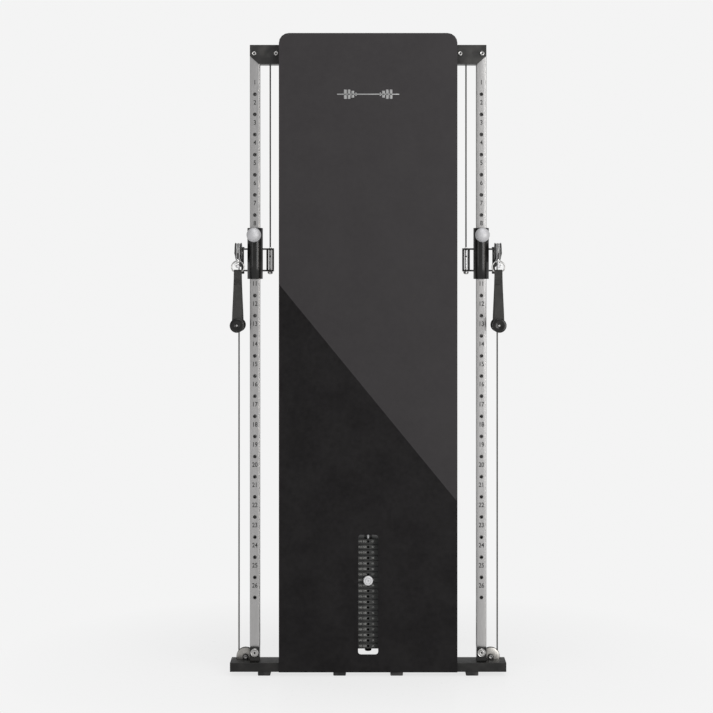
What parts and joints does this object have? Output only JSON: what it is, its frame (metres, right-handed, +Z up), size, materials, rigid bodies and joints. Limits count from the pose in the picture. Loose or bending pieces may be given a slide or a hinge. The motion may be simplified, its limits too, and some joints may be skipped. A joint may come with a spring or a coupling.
{
  "type": "cable crossover machine",
  "caption": "Free-standing cable crossover with numbered steel uprights, sliding pulley carriages, stirrup handles and one pin-selected weight stack behind a flat front panel.",
  "frame": {"origin": "on the floor, under the middle of the bounding box", "axes": "+Z up, -Y towards the user at the front, +X to the user's right as they face the machine"},
  "size_m": [0.919, 0.724, 2.138],
  "materials": {
    "black_paint": "satin black powder coat",
    "brushed_steel": "brushed along its length",
    "panel_paint": "two tone satin paint, graphite over black",
    "chrome": "polished",
    "satin_silver": "satin",
    "pulley_metal": "brushed",
    "cast_iron": "matte black",
    "rubber": "matte",
    "grip_foam": "matte, moulded",
    "webbing": "woven nylon",
    "cable_coat": "satin nylon coat"
  },
  "bodies": {
    "frame": {"base_bar": "black_paint", "base_rail_left": "black_paint", "base_rail_right": "black_paint", "rear_bar": "black_paint", "foot_outer_left": "rubber", "foot_outer_right": "rubber", "foot_inner_left": "rubber", "foot_inner_right": "rubber", "foot_bracket_left": "black_paint", "foot_bracket_right": "black_paint", "upright_left": "brushed_steel", "upright_right": "brushed_steel", "crossbar": "black_paint", "front_panel": "panel_paint", "post_left": "black_paint", "post_right": "black_paint", "guide_rod_left": "chrome", "guide_rod_right": "chrome", "bumper_left": "rubber", "bumper_right": "rubber", "plates_resting": "cast_iron", "cable_top_left": "cable_coat", "cable_down_left": "cable_coat", "cable_inner_left": "cable_coat", "cable_outer_left": "cable_coat", "cable_loop_left": "cable_coat", "cable_top_right": "cable_coat", "cable_down_right": "cable_coat", "cable_inner_right": "cable_coat", "cable_outer_right": "cable_coat", "cable_loop_right": "cable_coat"},
    "stack": {"plates_lifted": "cast_iron", "stack_head": "brushed_steel"},
    "selector": {"selector_pin": "chrome"},
    "carriage_left": {"carriage_left": "black_paint"},
    "pull_knob_left": {"pull_knob_left": "satin_silver"},
    "swivel_left": {"swivel_left": "black_paint"},
    "handle_left": {"snap_hook_left": "chrome", "handle_strap_left": "webbing", "handle_grip_left": "grip_foam"},
    "top_side_pulley_left": {"top_side_pulley_left": "pulley_metal"},
    "top_centre_pulley_left": {"top_centre_pulley_left": "pulley_metal"},
    "loop_pulley_left": {"loop_pulley_left": "pulley_metal"},
    "turn_pulley_left": {"turn_pulley_left": "pulley_metal"},
    "base_centre_pulley_left": {"base_centre_pulley_left": "pulley_metal"},
    "base_side_pulley_left": {"base_side_pulley_left": "pulley_metal"},
    "swivel_pulley_left": {"swivel_pulley_left": "pulley_metal"},
    "carriage_right": {"carriage_right": "black_paint"},
    "pull_knob_right": {"pull_knob_right": "satin_silver"},
    "swivel_right": {"swivel_right": "black_paint"},
    "handle_right": {"snap_hook_right": "chrome", "handle_strap_right": "webbing", "handle_grip_right": "grip_foam"},
    "top_side_pulley_right": {"top_side_pulley_right": "pulley_metal"},
    "top_centre_pulley_right": {"top_centre_pulley_right": "pulley_metal"},
    "loop_pulley_right": {"loop_pulley_right": "pulley_metal"},
    "turn_pulley_right": {"turn_pulley_right": "pulley_metal"},
    "base_centre_pulley_right": {"base_centre_pulley_right": "pulley_metal"},
    "base_side_pulley_right": {"base_side_pulley_right": "pulley_metal"},
    "swivel_pulley_right": {"swivel_pulley_right": "pulley_metal"}
  },
  "joints": [
    {"name": "stack_lift", "type": "slide", "parent": "frame", "child": "stack", "axis": [0, 0, 1], "range_m": [0, 0.5], "deforming": ["cable_loop_left", "cable_loop_right"]},
    {"name": "selector_pull", "type": "slide", "parent": "stack", "child": "selector", "axis": [0, 1, 0], "range_m": [-0.07, 0]},
    {"name": "carriage_slide_left", "type": "slide", "parent": "frame", "child": "carriage_left", "axis": [0, 0, 1], "range_m": [-0.73975, 0.47075], "deforming": ["cable_inner_left", "cable_outer_left"]},
    {"name": "pull_knob_slide_left", "type": "slide", "parent": "carriage_left", "child": "pull_knob_left", "axis": [0, -1, 0], "range_m": [-0.007, 0.008]},
    {"name": "swivel_turn_left", "type": "hinge", "parent": "carriage_left", "child": "swivel_left", "pos_m": [-0.423, -0.21815, 1.3843], "axis": [0, 0, 1], "range_deg": [-90, 0]},
    {"name": "handle_pull_left", "type": "slide", "parent": "swivel_left", "child": "handle_left", "axis": [0, 0, -1], "range_m": [0, 1]},
    {"name": "top_side_pulley_turn_left", "type": "hinge", "parent": "frame", "child": "top_side_pulley_left", "pos_m": [-0.3075, -0.23415, 2.0735], "axis": [0, 1, 0], "continuous": true},
    {"name": "top_centre_pulley_turn_left", "type": "hinge", "parent": "frame", "child": "top_centre_pulley_left", "pos_m": [-0.035, -0.23415, 2.0735], "axis": [0, 1, 0], "continuous": true},
    {"name": "loop_pulley_turn_left", "type": "hinge", "parent": "stack", "child": "loop_pulley_left", "pos_m": [-0.035, -0.23415, 0.545], "axis": [0, 1, 0], "continuous": true},
    {"name": "turn_pulley_turn_left", "type": "hinge", "parent": "frame", "child": "turn_pulley_left", "pos_m": [-0.08575, -0.23415, 1.985], "axis": [0, 1, 0], "continuous": true},
    {"name": "base_centre_pulley_turn_left", "type": "hinge", "parent": "frame", "child": "base_centre_pulley_left", "pos_m": [-0.135, -0.23415, 0.0495], "axis": [0, 1, 0], "continuous": true},
    {"name": "base_side_pulley_turn_left", "type": "hinge", "parent": "frame", "child": "base_side_pulley_left", "pos_m": [-0.4114, -0.23415, 0.0521], "axis": [0, 1, 0], "continuous": true},
    {"name": "swivel_pulley_turn_left", "type": "hinge", "parent": "swivel_left", "child": "swivel_pulley_left", "pos_m": [-0.434, -0.26515, 1.4071], "axis": [1, 0, 0], "continuous": true},
    {"name": "carriage_slide_right", "type": "slide", "parent": "frame", "child": "carriage_right", "axis": [0, 0, 1], "range_m": [-0.73975, 0.47075], "deforming": ["cable_inner_right", "cable_outer_right"]},
    {"name": "pull_knob_slide_right", "type": "slide", "parent": "carriage_right", "child": "pull_knob_right", "axis": [0, -1, 0], "range_m": [-0.007, 0.008]},
    {"name": "swivel_turn_right", "type": "hinge", "parent": "carriage_right", "child": "swivel_right", "pos_m": [0.423, -0.21815, 1.3843], "axis": [0, 0, 1], "range_deg": [0, 90]},
    {"name": "handle_pull_right", "type": "slide", "parent": "swivel_right", "child": "handle_right", "axis": [0, 0, -1], "range_m": [0, 1]},
    {"name": "top_side_pulley_turn_right", "type": "hinge", "parent": "frame", "child": "top_side_pulley_right", "pos_m": [0.3075, -0.23415, 2.0735], "axis": [0, 1, 0], "continuous": true},
    {"name": "top_centre_pulley_turn_right", "type": "hinge", "parent": "frame", "child": "top_centre_pulley_right", "pos_m": [0.035, -0.23415, 2.0735], "axis": [0, 1, 0], "continuous": true},
    {"name": "loop_pulley_turn_right", "type": "hinge", "parent": "stack", "child": "loop_pulley_right", "pos_m": [0.035, -0.23415, 0.545], "axis": [0, 1, 0], "continuous": true},
    {"name": "turn_pulley_turn_right", "type": "hinge", "parent": "frame", "child": "turn_pulley_right", "pos_m": [0.08575, -0.23415, 1.985], "axis": [0, 1, 0], "continuous": true},
    {"name": "base_centre_pulley_turn_right", "type": "hinge", "parent": "frame", "child": "base_centre_pulley_right", "pos_m": [0.135, -0.23415, 0.0495], "axis": [0, 1, 0], "continuous": true},
    {"name": "base_side_pulley_turn_right", "type": "hinge", "parent": "frame", "child": "base_side_pulley_right", "pos_m": [0.4114, -0.23415, 0.0521], "axis": [0, 1, 0], "continuous": true},
    {"name": "swivel_pulley_turn_right", "type": "hinge", "parent": "swivel_right", "child": "swivel_pulley_right", "pos_m": [0.434, -0.26515, 1.4071], "axis": [1, 0, 0], "continuous": true}
  ],
  "couplings": [
    {"joint": "handle_pull_left", "follows": "stack_lift", "ratio": 2},
    {"joint": "top_side_pulley_turn_left", "follows": "carriage_slide_left", "rad_per_m": 46.512},
    {"joint": "top_centre_pulley_turn_left", "follows": "carriage_slide_left", "rad_per_m": 46.512},
    {"joint": "loop_pulley_turn_left", "follows": "stack_lift", "rad_per_m": 46.512},
    {"joint": "turn_pulley_turn_left", "follows": "stack_lift", "rad_per_m": -68.376},
    {"joint": "base_centre_pulley_turn_left", "follows": "stack_lift", "rad_per_m": 100},
    {"joint": "base_side_pulley_turn_left", "follows": "stack_lift", "rad_per_m": 88.496},
    {"joint": "swivel_pulley_turn_left", "follows": "stack_lift", "rad_per_m": 64.516},
    {"joint": "handle_pull_right", "follows": "stack_lift", "ratio": 2},
    {"joint": "top_side_pulley_turn_right", "follows": "carriage_slide_right", "rad_per_m": -46.512},
    {"joint": "top_centre_pulley_turn_right", "follows": "carriage_slide_right", "rad_per_m": -46.512},
    {"joint": "loop_pulley_turn_right", "follows": "stack_lift", "rad_per_m": -46.512},
    {"joint": "turn_pulley_turn_right", "follows": "stack_lift", "rad_per_m": 68.376},
    {"joint": "base_centre_pulley_turn_right", "follows": "stack_lift", "rad_per_m": -100},
    {"joint": "base_side_pulley_turn_right", "follows": "stack_lift", "rad_per_m": -88.496},
    {"joint": "swivel_pulley_turn_right", "follows": "stack_lift", "rad_per_m": 64.516}
  ]
}
